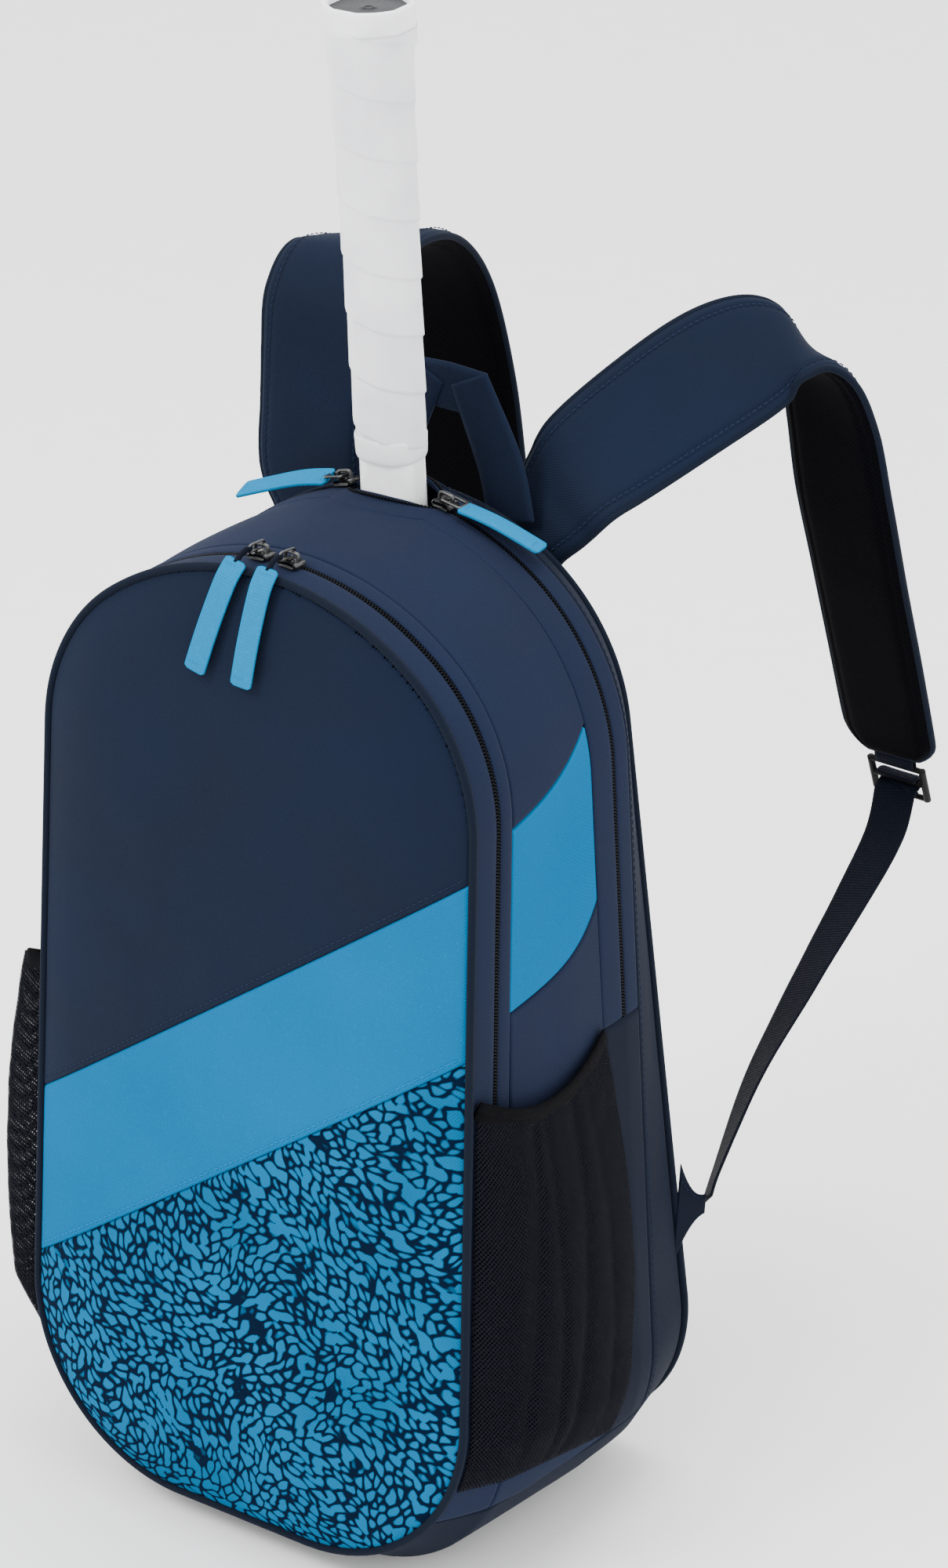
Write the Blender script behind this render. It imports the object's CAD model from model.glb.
import math

import bpy
import numpy as np
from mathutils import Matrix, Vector


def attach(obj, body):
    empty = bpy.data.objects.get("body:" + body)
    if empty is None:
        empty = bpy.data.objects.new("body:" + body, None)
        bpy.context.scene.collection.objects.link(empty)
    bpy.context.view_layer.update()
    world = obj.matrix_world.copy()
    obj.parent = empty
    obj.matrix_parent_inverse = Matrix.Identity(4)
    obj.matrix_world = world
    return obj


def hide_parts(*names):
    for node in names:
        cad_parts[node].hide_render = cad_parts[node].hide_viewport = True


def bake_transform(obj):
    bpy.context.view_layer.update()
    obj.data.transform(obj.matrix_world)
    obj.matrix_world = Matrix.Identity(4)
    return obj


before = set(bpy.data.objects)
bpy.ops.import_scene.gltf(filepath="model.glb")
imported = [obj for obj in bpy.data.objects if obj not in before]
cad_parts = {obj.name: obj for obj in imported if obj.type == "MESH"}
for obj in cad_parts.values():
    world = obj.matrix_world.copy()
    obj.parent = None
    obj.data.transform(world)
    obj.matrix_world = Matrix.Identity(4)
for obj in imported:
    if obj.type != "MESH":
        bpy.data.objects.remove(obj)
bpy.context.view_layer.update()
MM = 0.001
Z_REF = 466.0
CROWN = math.radians(36.0)
rng = np.random.default_rng(20)


# ---- smooth noise ------------------------------------------------------------------
LATTICE = rng.random((32, 32, 32)) * 2 - 1


def noise(p, scale, seed=0):
    """value noise from -1 to 1 at points (..., 3), features about `scale` mm"""
    q = np.asarray(p, float) / scale + seed * 7.31
    i = np.floor(q).astype(int)
    f = q - i
    f = f * f * (3 - 2 * f)
    i %= 32
    j = (i + 1) % 32
    out = 0
    for cx in (0, 1):
        for cy in (0, 1):
            for cz in (0, 1):
                w = (
                    (f[..., 0] if cx else 1 - f[..., 0])
                    * (f[..., 1] if cy else 1 - f[..., 1])
                    * (f[..., 2] if cz else 1 - f[..., 2])
                )
                a = (j if cx else i)[..., 0]
                b = (j if cy else i)[..., 1]
                c = (j if cz else i)[..., 2]
                out = out + w * LATTICE[a, b, c]
    return out


def unit(v):
    """vectors along the last axis, brought to length 1"""
    return v / (np.linalg.norm(v) if np.ndim(v) == 1 else np.linalg.norm(v, axis=-1, keepdims=True))


def run_length(path):
    """distance along a path at each of its points"""
    return np.concatenate([[0], np.cumsum(np.linalg.norm(np.diff(path, axis=0), axis=1))])


def along_path(t, s, rows):
    """rows given at distances s, read at distances t"""
    return np.stack([np.interp(t, s, rows[:, i]) for i in range(3)], axis=1)


def facing(p, v):
    """one direction for every point of a grid"""
    return np.broadcast_to(np.array(v, float), p.shape)


def rumple(p, big=0.8, small=0.25, seed=0):
    return big * noise(p, 58, seed) + small * noise(p, 19, seed + 3)


# ---- materials ---------------------------------------------------------------------
def srgb(r, g, b):
    def f(v):
        v = v / 255
        return v / 12.92 if v <= 0.04045 else ((v + 0.055) / 1.055) ** 2.4

    return (f(r), f(g), f(b), 1.0)


class Tree:
    """short way to write a node material"""

    def __init__(self, name):
        self.mat = bpy.data.materials.new(name)
        self.mat.use_nodes = True
        self.nt = self.mat.node_tree
        self.nt.nodes.clear()
        self.out = self.nt.nodes.new("ShaderNodeOutputMaterial")
        self.bsdf = self.nt.nodes.new("ShaderNodeBsdfPrincipled")
        self.nt.links.new(self.bsdf.outputs[0], self.out.inputs[0])

    def add(self, kind, *links, **props):
        node = self.nt.nodes.new(kind)
        values = props.pop("values", {})
        for key, value in props.items():
            setattr(node, key, value)
        for key, value in values.items():
            node.inputs[key].default_value = value
        for key, socket in links:
            self.nt.links.new(socket, node.inputs[key])
        return node

    def math(self, op, a, b=None, c=None):
        node = self.nt.nodes.new("ShaderNodeMath")
        node.operation = op
        for i, v in enumerate((a, b, c)):
            if v is None:
                continue
            if isinstance(v, (int, float)):
                node.inputs[i].default_value = v
            else:
                self.nt.links.new(v, node.inputs[i])
        return node.outputs[0]

    def uv(self):
        tc = self.add("ShaderNodeTexCoord")
        sep = self.add("ShaderNodeSeparateXYZ", (0, tc.outputs["UV"]))
        return sep.outputs[0], sep.outputs[1]

    def objcoord(self):
        return self.add("ShaderNodeTexCoord").outputs["Object"]

    def noise(self, scale, detail=3.0, vector=None):
        vector = vector or self.objcoord()
        node = self.add(
            "ShaderNodeTexNoise", ("Vector", vector), values={"Scale": scale, "Detail": detail}
        )
        return node.outputs["Fac"]

    def ramp(self, fac, lo, hi, a, b):
        """maps fac from lo..hi to a..b, clamped"""
        node = self.add(
            "ShaderNodeMapRange",
            (0, fac),
            values={1: lo, 2: hi, 3: a, 4: b},
        )
        return node.outputs[0]

    def mix(self, fac, a, b):
        node = self.add("ShaderNodeMix", data_type="RGBA")
        for key, v in ((0, fac), (6, a), (7, b)):
            if isinstance(v, (tuple, float, int)):
                node.inputs[key].default_value = v
            else:
                self.nt.links.new(v, node.inputs[key])
        return node.outputs[2]

    def bump(self, height, strength, distance, normal=None):
        node = self.add(
            "ShaderNodeBump", ("Height", height), values={"Strength": strength, "Distance": distance}
        )
        if normal:
            self.nt.links.new(normal, node.inputs["Normal"])
        return node.outputs[0]

    def set(self, **values):
        for key, value in values.items():
            socket = self.bsdf.inputs[key.replace("_", " ")]
            if isinstance(value, (int, float, tuple)):
                socket.default_value = value
            else:
                self.nt.links.new(value, socket)
        return self.mat


def shade(color, k):
    return (color[0] * k, color[1] * k, color[2] * k, 1.0)


def weave(t, pitch):
    """plain weave height from UVs in metres"""
    u, v = t.uv()
    k = math.pi / (pitch * MM)
    a = t.math("SINE", t.math("MULTIPLY", u, k))
    b = t.math("SINE", t.math("MULTIPLY", v, k))
    return t.math("MULTIPLY", a, b)


def cloth_mat(name, color, pitch=0.8, rough=0.88, sheen=0.03, depth=0.12, vary=0.16, tint=None, gloss=0.1):
    t = Tree(name)
    base = srgb(*color)
    big = t.noise(14.0, 3.0)
    fine = t.noise(900.0, 2.0)
    thread = weave(t, pitch)
    c = t.mix(t.ramp(big, 0.3, 0.7, 0.0, 1.0), shade(base, 1 - vary), shade(base, 1 + vary))
    c = t.mix(t.ramp(thread, -1.0, 1.0, 0.0, 0.24), c, shade(base, 0.55))
    c = t.mix(t.ramp(fine, 0.55, 0.8, 0.0, 0.18), c, shade(base, 1.7))
    edge = t.add("ShaderNodeNewGeometry").outputs["Pointiness"]
    c = t.mix(t.ramp(edge, 0.52, 0.6, 0.0, 0.35), c, shade(base, 1.8))
    height = t.math("ADD", thread, t.math("MULTIPLY", fine, 0.7))
    n = t.bump(height, 0.5, depth * MM)
    r = t.ramp(big, 0.3, 0.7, rough - 0.06, min(1.0, rough + 0.06))
    t.set(Base_Color=c, Roughness=r, Normal=n)
    t.set(Sheen_Weight=sheen, Sheen_Roughness=0.45, Specular_IOR_Level=gloss)
    t.bsdf.inputs["Sheen Tint"].default_value = tint or shade(srgb(150, 165, 200), 1.0)
    return t.mat


def rib_mat(name, color, pitch, along=1, rough=0.75, depth=0.25, sheen=0.25, contrast=0.4, gloss=0.1):
    """tape or webbing with ribs across its length"""
    t = Tree(name)
    base = srgb(*color)
    uv = t.uv()
    k = math.pi / (pitch * MM)
    wave = t.math("ABSOLUTE", t.math("SINE", t.math("MULTIPLY", uv[along], k)))
    cross = t.math("SINE", t.math("MULTIPLY", uv[1 - along], k * 1.7))
    h = t.math("ADD", wave, t.math("MULTIPLY", cross, 0.25))
    fine = t.noise(700.0, 2.0)
    c = t.mix(t.ramp(wave, 0.0, 0.6, contrast, 0.0), base, shade(base, 0.45))
    c = t.mix(t.ramp(fine, 0.5, 0.8, 0.0, 0.25), c, shade(base, 1.6))
    t.set(Base_Color=c, Normal=t.bump(h, 0.6, depth * MM))
    t.set(Roughness=t.ramp(fine, 0.3, 0.7, rough - 0.08, rough + 0.08))
    t.set(Sheen_Weight=sheen * 0.3, Sheen_Roughness=0.4, Specular_IOR_Level=gloss)
    return t.mat


def print_mat(name):
    t = Tree(name)
    dark = srgb(3, 17, 36)
    light = srgb(0, 92, 134)
    f = t.add("ShaderNodeAttribute", attribute_name="coral").outputs["Fac"]
    big = t.noise(16.0, 2.0)
    fine = t.noise(1100.0, 2.0)
    thread = weave(t, 0.8)
    ink = t.ramp(f, -0.07, 0.09, 0.0, 1.0)
    lit = t.mix(t.ramp(big, 0.35, 0.65, 0.0, 1.0), shade(light, 0.86), shade(light, 1.1))
    c = t.mix(ink, dark, lit)
    c = t.mix(t.ramp(thread, -1.0, 1.0, 0.0, 0.22), c, shade(dark, 0.8))
    n = t.bump(t.math("ADD", thread, t.math("MULTIPLY", fine, 0.7)), 0.5, 0.12 * MM)
    t.set(Base_Color=c, Roughness=t.ramp(ink, 0.0, 1.0, 0.8, 0.66), Normal=n)
    t.set(Specular_IOR_Level=0.02)
    return t.mat


def net_mat(name, color, pitch, hole, alpha):
    """knitted mesh: a diamond grid of holes, see-through to `alpha` where open"""
    t = Tree(name)
    base = srgb(*color)
    u, v = t.uv()
    k = math.pi / (pitch * MM)
    p = t.math("MULTIPLY", t.math("ADD", u, v), k)
    q = t.math("MULTIPLY", t.math("SUBTRACT", u, v), k * 0.8)
    g = t.math("MULTIPLY", t.math("ABSOLUTE", t.math("SINE", p)), t.math("ABSOLUTE", t.math("SINE", q)))
    open_ = t.ramp(g, hole, hole + 0.15, 0.0, 1.0)
    fine = t.noise(800.0, 2.0)
    c = t.mix(open_, shade(base, 1.6), shade(base, 0.25))
    c = t.mix(t.ramp(fine, 0.5, 0.8, 0.0, 0.3), c, shade(base, 2.2))
    n = t.bump(t.math("SUBTRACT", 1.0, open_), 0.7, 0.3 * MM)
    t.set(Base_Color=c, Roughness=0.8, Normal=n, Alpha=t.ramp(open_, 0.0, 1.0, 1.0, alpha))
    t.set(Specular_IOR_Level=0.03)
    return t.mat


def hard_mat(name, color, rough, metal=0.0, coat=0.0, grain=900.0, bump=0.02, wear=0.25, gloss=0.4):
    t = Tree(name)
    base = srgb(*color)
    fine = t.noise(grain, 3.0)
    big = t.noise(60.0, 3.0)
    edge = t.add("ShaderNodeNewGeometry").outputs["Pointiness"]
    c = t.mix(t.ramp(big, 0.3, 0.7, 0.0, 1.0), shade(base, 0.92), shade(base, 1.06))
    worn = t.ramp(edge, 0.53, 0.62, 0.0, wear)
    c = t.mix(worn, c, shade(srgb(170, 170, 172), 1.0))
    t.set(Base_Color=c, Normal=t.bump(fine, 0.35, bump * MM))
    t.set(Roughness=t.ramp(fine, 0.3, 0.7, rough - 0.05, rough + 0.07))
    t.set(Metallic=metal, Coat_Weight=coat, Coat_Roughness=0.15, Specular_IOR_Level=gloss)
    return t.mat


def grip_mat(name):
    t = Tree(name)
    base = srgb(226, 227, 231)
    pores = t.add("ShaderNodeTexVoronoi", ("Vector", t.objcoord()), values={"Scale": 620.0}).outputs["Distance"]
    soft = t.noise(40.0, 4.0)
    c = t.mix(t.ramp(soft, 0.35, 0.7, 0.0, 1.0), base, srgb(210, 211, 216))
    c = t.mix(t.ramp(pores, 0.0, 0.25, 0.25, 0.0), c, srgb(184, 185, 190))
    n = t.bump(pores, 0.35, 0.08 * MM)
    n = t.bump(soft, 0.25, 0.5 * MM, n)
    t.set(Base_Color=c, Roughness=t.ramp(soft, 0.3, 0.7, 0.5, 0.66), Normal=n)
    t.set(Sheen_Weight=0.1, Specular_IOR_Level=0.4)
    return t.mat


M = {
    "navy": cloth_mat("cloth_navy", (11, 20, 37)),
    "navy_light": cloth_mat("cloth_navy_gusset", (17, 25, 45), vary=0.12),
    "navy_rear": cloth_mat("cloth_navy_rear", (9, 15, 28), vary=0.1),
    "blue": cloth_mat("cloth_blue", (0, 90, 134), sheen=0.0, gloss=0.01, vary=0.06, tint=srgb(120, 200, 255)),
    "print": print_mat("cloth_print"),
    "welt": cloth_mat("cloth_welt", (8, 15, 28), pitch=0.6, vary=0.1),
    "tape": rib_mat("zip_tape_knit", (12, 18, 34), 1.1, along=0, contrast=0.15, depth=0.08, sheen=0.05),
    "coil": hard_mat("zip_coil_nylon", (3, 5, 11), 0.6, bump=0.02, wear=0.0, gloss=0.08),
    "bed": cloth_mat("zip_bed", (4, 7, 13), pitch=0.5, vary=0.05),
    "lining": cloth_mat("cloth_lining", (24, 25, 30), pitch=0.7),
    "net": net_mat("pocket_net", (10, 11, 16), 2.0, 0.42, 0.35),
    "binding": rib_mat("elastic_binding", (4, 4, 7), 0.9, along=0, contrast=0.35, depth=0.3, sheen=0.0, gloss=0.04),
    "spacer": net_mat("spacer_mesh", (2, 2, 4), 2.4, 0.5, 1.0),
    "web": rib_mat("webbing_ribbed", (9, 13, 24), 1.6, along=1, contrast=0.5, depth=0.4, sheen=0.0, gloss=0.06),
    "plastic": hard_mat("buckle_black", (5, 5, 7), 0.5, bump=0.05, wear=0.0, gloss=0.15),
    "metal": hard_mat("slider_black", (8, 8, 9), 0.32, metal=0.5, coat=0.4, wear=0.3),
    "pull": rib_mat("pull_tape_blue", (0, 104, 148), 1.3, along=1, contrast=0.16, depth=0.15,
                    sheen=0.0, gloss=0.02),
    "paint": hard_mat("racket_paint_white", (240, 241, 243), 0.25, coat=0.6, wear=0.0),
    "string": hard_mat("string_nylon", (222, 222, 210), 0.35, wear=0.0),
    "rubber": hard_mat("collar_rubber", (226, 227, 230), 0.6, bump=0.05, wear=0.0),
    "grip": grip_mat("overgrip_white"),
    "cap": hard_mat("butt_cap_white", (236, 237, 240), 0.4, bump=0.04, wear=0.0),
    "cap_dark": hard_mat("butt_cap_recess", (38, 39, 42), 0.6, bump=0.05, wear=0.0),
    "thread": cloth_mat("thread_navy", (18, 27, 46), pitch=0.35, vary=0.05),
    "thread_dark": cloth_mat("thread_dark", (20, 24, 34), pitch=0.35, vary=0.05),
    "thread_blue": cloth_mat("thread_blue", (4, 92, 140), pitch=0.35, vary=0.05),
}


# ---- mesh making -------------------------------------------------------------------
def make(name, verts, faces, mat, uv=None):
    mesh = bpy.data.meshes.new(name)
    mesh.from_pydata((np.asarray(verts, float) * MM).tolist(), [], faces)
    mesh.validate()
    obj = bpy.data.objects.new(name, mesh)
    bpy.context.scene.collection.objects.link(obj)
    mesh.materials.append(mat)
    if uv is not None:
        layer = mesh.uv_layers.new(name="UVMap")
        index = np.empty(len(mesh.loops), int)
        mesh.loops.foreach_get("vertex_index", index)
        layer.data.foreach_set("uv", (np.asarray(uv, float)[index] * MM).ravel())
    mesh.polygons.foreach_set("use_smooth", [True] * len(mesh.polygons))
    return obj


def grid_faces(nr, nc, close_r=False, close_c=False, base=0, flip=False):
    faces = []
    for r in range(nr if close_r else nr - 1):
        r2 = (r + 1) % nr
        for c in range(nc if close_c else nc - 1):
            c2 = (c + 1) % nc
            f = (base + r * nc + c, base + r2 * nc + c, base + r2 * nc + c2, base + r * nc + c2)
            faces.append(f[::-1] if flip else f)
    return faces


def lengths(p, axis):
    """running length along a grid axis"""
    d = np.linalg.norm(np.diff(p, axis=axis), axis=-1)
    pad = [(0, 0), (0, 0)]
    pad[axis] = (1, 0)
    return np.pad(np.cumsum(d, axis=axis), pad)


def normals(p, close_c=False):
    if close_c:
        q = np.concatenate([p[:, -1:], p, p[:, :1]], axis=1)
        dc = (q[:, 2:] - q[:, :-2])
    else:
        dc = np.gradient(p, axis=1)
    dr = np.gradient(p, axis=0)
    n = np.cross(dr, dc)
    return n / (np.linalg.norm(n, axis=-1, keepdims=True) + 1e-9)


def spread(n, dense=0.7):
    """0 to 1 with points crowded towards both ends"""
    t = np.linspace(0, 1, n)
    return (1 - dense) * t + dense * (1 - np.cos(np.pi * t)) / 2


def cloth(name, p, mat, out, thick=1.4, roll=(1.2, 1.2, 1.2, 1.2), wrap=False, uv=None):
    """a sheet with rolled-in edges from a grid of points. out is a rough outward
    direction grid or point rule; roll is the edge radius at row start, row end,
    column start and column end"""
    n = normals(p, wrap)
    s = np.sign(np.sum(n * out, axis=-1).mean())
    n = n * s
    lr = lengths(p, 0)
    lc = lengths(p, 1)
    dist = [lr, lr[-1:] - lr, lc, lc[:, -1:] - lc]
    sink = np.zeros(p.shape[:2])
    for r, d in zip(roll, dist):
        if r:
            k = np.clip(d / r, 0, 1)
            sink = np.maximum(sink, r * (1 - np.sqrt(1 - (1 - k) ** 2)))
    top = p - n * sink[..., None]
    low = p - n * np.maximum(thick, sink + 0.25)[..., None]
    nr, nc = p.shape[:2]
    verts = np.concatenate([top.reshape(-1, 3), low.reshape(-1, 3)])
    up = s > 0
    faces = grid_faces(nr, nc, close_c=wrap, flip=not up)
    faces += grid_faces(nr, nc, close_c=wrap, base=nr * nc, flip=up)
    m = nr * nc
    cols = range(nc if wrap else nc - 1)
    for c in cols:
        c2 = (c + 1) % nc
        for r, f in ((0, up), (nr - 1, not up)):
            a, b = r * nc + c, r * nc + c2
            q = (a, b, b + m, a + m)
            faces.append(q if f else q[::-1])
    if not wrap:
        for r in range(nr - 1):
            for c, f in ((0, not up), (nc - 1, up)):
                a, b = r * nc + c, (r + 1) * nc + c
                q = (a, b, b + m, a + m)
                faces.append(q if f else q[::-1])
    if uv is None:
        uv = np.stack([lc.mean(axis=0)[None, :] + 0 * lr, lr], axis=-1)
    uv = uv.reshape(-1, 2)
    return make(name, verts, faces, mat, np.concatenate([uv, uv]))


def resample(path, step, closed=False):
    path = np.asarray(path, float)
    if closed:
        path = np.vstack([path, path[:1]])
    s = run_length(path)
    n = max(2, int(round(s[-1] / step)) + 1)
    t = np.linspace(0, s[-1], n)
    out = along_path(t, s, path)
    return (out[:-1], t[:-1]) if closed else (out, t)


def tube(name, path, radius, mat, closed=False, sides=12, flat=(1.0, 1.0), up=None, step=None):
    """tube along a path; flat scales the section across and along `up`"""
    path = np.asarray(path, float)
    if step:
        path, _ = resample(path, step, closed)
    n = len(path)
    if closed:
        run = np.roll(path, -1, axis=0) - np.roll(path, 1, axis=0)
    else:
        run = np.gradient(path, axis=0)
    run = unit(run)
    ref = np.broadcast_to(np.array([0.0, 0.0, 1.0]) if up is None else np.asarray(up, float), path.shape)
    side = np.cross(run, ref)
    bad = np.linalg.norm(side, axis=1) < 1e-3
    side[bad] = np.cross(run[bad], [1.0, 0.2, 0.1])
    side = unit(side)
    top = np.cross(side, run)
    a = np.linspace(0, 2 * np.pi, sides, endpoint=False)
    r = np.broadcast_to(np.asarray(radius, float), (n,))[:, None, None]
    ring = (
        path[:, None]
        + r * flat[0] * np.cos(a)[None, :, None] * side[:, None]
        + r * flat[1] * np.sin(a)[None, :, None] * top[:, None]
    )
    verts = ring.reshape(-1, 3)
    faces = grid_faces(n, sides, close_r=closed, close_c=True)
    if not closed:
        faces.append(tuple(range(sides)))
        faces.append(tuple(reversed(range((n - 1) * sides, n * sides))))
    s = lengths(ring, 0)
    girth = np.linspace(0, 2 * np.pi, sides, endpoint=False) * float(np.mean(r))
    uv = np.stack([np.broadcast_to(girth, (n, sides)), s], axis=-1).reshape(-1, 2)
    return make(name, verts, faces, mat, uv)


def stitches(name, path, normal, mat, pitch=3.4, length=2.5, r=0.3, closed=False):
    """a row of sewing stitches: short raised threads whose ends dive into the cloth"""
    path = np.asarray(path, float)
    normal = np.broadcast_to(np.asarray(normal, float), path.shape)
    s = run_length(path)
    count = int(s[-1] // pitch)
    verts, faces = [], []
    prof = [(-0.5, 0.3, -0.5), (-0.34, 0.95, 0.15), (0.0, 1.0, 0.45), (0.34, 0.95, 0.15), (0.5, 0.3, -0.5)]
    for i in range(count):
        mid = (i + 0.5) * pitch
        pts = [[np.interp(mid + f * length, s, path[:, k]) for k in range(3)] for f, _, _ in prof]
        pts = np.array(pts)
        n = np.array([np.interp(mid, s, normal[:, k]) for k in range(3)])
        n /= np.linalg.norm(n) + 1e-9
        run = pts[-1] - pts[0]
        run /= np.linalg.norm(run) + 1e-9
        side = np.cross(run, n)
        base = len(verts)
        for (f, k, h), q in zip(prof, pts):
            c = q + n * h * r
            for j in range(6):
                a = j * math.pi / 3
                verts.append(c + side * math.cos(a) * r * k + n * math.sin(a) * r * k)
        faces += grid_faces(5, 6, close_c=True, base=base)
        faces.append(tuple(base + j for j in reversed(range(6))))
        faces.append(tuple(base + 24 + j for j in range(6)))
    verts = np.array(verts)
    return make(name, verts, faces, mat, verts[:, :2])


def join(name, objs):
    """one object from several"""
    bpy.ops.object.select_all(action="DESELECT")
    for o in objs:
        o.select_set(True)
    bpy.context.view_layer.objects.active = objs[0]
    bpy.ops.object.join()
    objs[0].name = name
    objs[0].data.name = name
    return objs[0]


def finish_piece(obj, body, nodes=()):
    if nodes:
        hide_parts(*nodes)
    if body:
        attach(obj, body)
    return obj


# ---- the bag's arches --------------------------------------------------------------
def sec(y, k, top, r, w_top, w_low, bottom, corner):
    return dict(y=y, k=k, top=top, r=r, w_top=w_top, w_low=w_low, bottom=bottom, corner=corner)


TILT = -0.055
SECTIONS = [
    sec(-60.0, TILT, 463.0, 135.0, 114.5, 120.0, 14.0, 84.0),
    sec(-48.5, TILT, 463.0, 135.0, 114.8, 121.5, 8.0, 83.0),
    sec(-44.5, TILT, 463.0, 135.0, 114.9, 122.0, 6.0, 82.0),
    sec(-33.0, TILT, 464.0, 135.0, 115.0, 124.0, 0.0, 80.0),
    sec(24.0, 0.0, 468.0, 120.0, 112.0, 130.0, 0.0, 78.0),
    sec(38.0, 0.0, 468.0, 120.0, 112.0, 130.0, 0.0, 78.0),
    sec(42.0, 0.0, 468.0, 120.0, 112.0, 130.0, 0.0, 78.0),
    sec(51.5, 0.0, 468.0, 120.0, 112.0, 129.5, 0.0, 78.0),
    sec(64.0, 0.05, 462.0, 105.0, 99.0, 125.0, 6.0, 80.0),
]


def arch_table(s, n=2400):
    """half outline from the crown's top to the bottom's middle: x, z, nx, nz, length"""
    cz = s["top"] - s["r"]
    sp, cp = math.sin(CROWN), math.cos(CROWN)
    r2 = (s["w_top"] - s["r"] * sp) / (1 - sp)
    sx = (s["r"] - r2) * sp
    sz = cz + (s["r"] - r2) * cp
    bx = s["w_low"] - s["corner"]
    bz = s["bottom"] + s["corner"]
    flare = math.asin((s["corner"] - r2) / math.hypot(sx - bx, sz - bz)) - math.atan2(sx - bx, sz - bz)
    end = math.pi / 2 - flare
    parts = []

    def arc(cx, c, r, a0, a1, m):
        a = np.linspace(a0, a1, m)
        parts.append(np.stack([cx + r * np.sin(a), c + r * np.cos(a), np.sin(a), np.cos(a)], axis=1))

    arc(0, cz, s["r"], 0, CROWN, 300)
    arc(sx, sz, r2, CROWN, end, 300)
    arc(bx, bz, s["corner"], end, math.pi, 400)
    tail = parts[-1][-1].copy()
    tail[0] = 0.0
    parts.append(tail[None])
    raw = np.concatenate(parts)
    ln = np.concatenate([[0], np.cumsum(np.hypot(np.diff(raw[:, 0]), np.diff(raw[:, 1])))])
    t = np.linspace(0, 1, n)
    out = np.stack([np.interp(t * ln[-1], ln, raw[:, i]) for i in range(4)], axis=1)
    return out, ln[-1]


TABLES = [arch_table(s) for s in SECTIONS]
TT = np.linspace(0, 1, 2400)


def on_section(i, t):
    """x, z and outline normal at t in -1..1 (0 the crown's top, negative to the left)"""
    tab = TABLES[i][0]
    u = np.abs(t)
    x, z, nx, nz = (np.interp(u, TT, tab[:, k]) for k in range(4))
    s = np.where(np.asarray(t) < 0, -1.0, 1.0)
    return x * s, z, nx * s, nz


def surf(d, t, grow=0.0):
    """point on the bag's skin; d runs 0..8 over the sections, t round the arch"""
    d, t, grow = np.broadcast_arrays(np.asarray(d, float), np.asarray(t, float), np.asarray(grow, float))
    out = np.zeros(d.shape + (3,))
    i0 = np.clip(np.floor(d).astype(int), 0, 7)
    for i in range(8):
        m = i0 == i
        if not m.any():
            continue
        f = d[m] - i
        vals = []
        for j in (i, i + 1):
            x, z, nx, nz = on_section(j, t[m])
            x = x + grow[m] * nx
            z = z + grow[m] * nz
            s = SECTIONS[j]
            vals.append(np.stack([x, s["y"] + s["k"] * (Z_REF - z), z], axis=-1))
        out[m] = vals[0] * (1 - f)[..., None] + vals[1] * f[..., None]
    return out


def t_at(i, z):
    """arch parameter where section i's right side is at height z"""
    tab = TABLES[i][0]
    return float(np.interp(-z, -tab[:, 1], TT))


def t_at_d(d, z):
    i = int(min(max(math.floor(d), 0), 7))
    return t_at(i, z) * (1 - (d - i)) + t_at(i + 1, z) * (d - i)


def outward(p):
    """rough outward direction for bag skin points"""
    o = np.zeros_like(p)
    o[..., 0] = p[..., 0]
    o[..., 2] = p[..., 2] - 230
    return o / (np.linalg.norm(o, axis=-1, keepdims=True) + 1e-6)


# how far the zip's lips are drawn apart round the racket
MOUTH_X, MOUTH_HALF = -2.7, 25.0


def mouth(x):
    k = np.clip(1 - ((np.asarray(x) - MOUTH_X) / MOUTH_HALF) ** 2, 0, 1)
    return k ** 0.8


def skin_grid(d0, d1, z_end, nd, nt, bulge=0.0, t_range=None, seed=1, big=0.7, small=0.2):
    """grid over sections d0..d1 down to height z_end on both sides (or a t range)"""
    d = d0 + (d1 - d0) * spread(nd, 0.6)
    rows = []
    for dv in d:
        if t_range is None:
            te = t_at_d(dv, z_end)
            t = np.linspace(-te, te, nt)
        else:
            lo, hi = t_range(dv)
            t = np.linspace(lo, hi, nt)
        k = (dv - d0) / (d1 - d0)
        rows.append(surf(dv, t, bulge * math.sin(math.pi * k)))
    p = np.array(rows)
    o = outward(p)
    fade = np.sin(np.pi * np.linspace(0, 1, nd)) ** 0.5
    p = p + o * (rumple(p, big, small, seed) * fade[:, None])[..., None]
    return p


def pull_lips(p, front):
    """draws skin grid rows towards the mouth's lips: rows run front to back"""
    k = np.linspace(0, 1, p.shape[0])[:, None]
    b = mouth(p[..., 0]) * (p[..., 2] > 430)
    q = p.copy()
    if front == "gusset":
        q[..., 1] -= 11.0 * b * k ** 2
        q[..., 2] += 0.8 * b * k ** 3
    elif front == "front_tape":
        q[..., 1] -= 11.0 * b + 4.5 * b * k
        q[..., 2] += 0.8 * b + 2.6 * b * k ** 2
    elif front == "rear_tape":
        q[..., 1] += 13.0 * b * (1 - k) + 6.0 * b * k
        q[..., 2] += 0.6 * b + 3.4 * b * (1 - k) ** 2
    elif front == "rear":
        q[..., 1] += 6.0 * b * (1 - k) ** 2
        q[..., 2] += 0.6 * b * (1 - k) ** 2
    return q


# heights where the front zip, the main zip and the side panels end
ZIP1, ZIP2, BOOT = 238.0, 250.0, 46.0


def skin_cloth(name, p, mat, roll, thick=1.4):
    """a sheet on the bag's skin"""
    return cloth(name, p, M[mat], outward(p), thick, roll)


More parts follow.
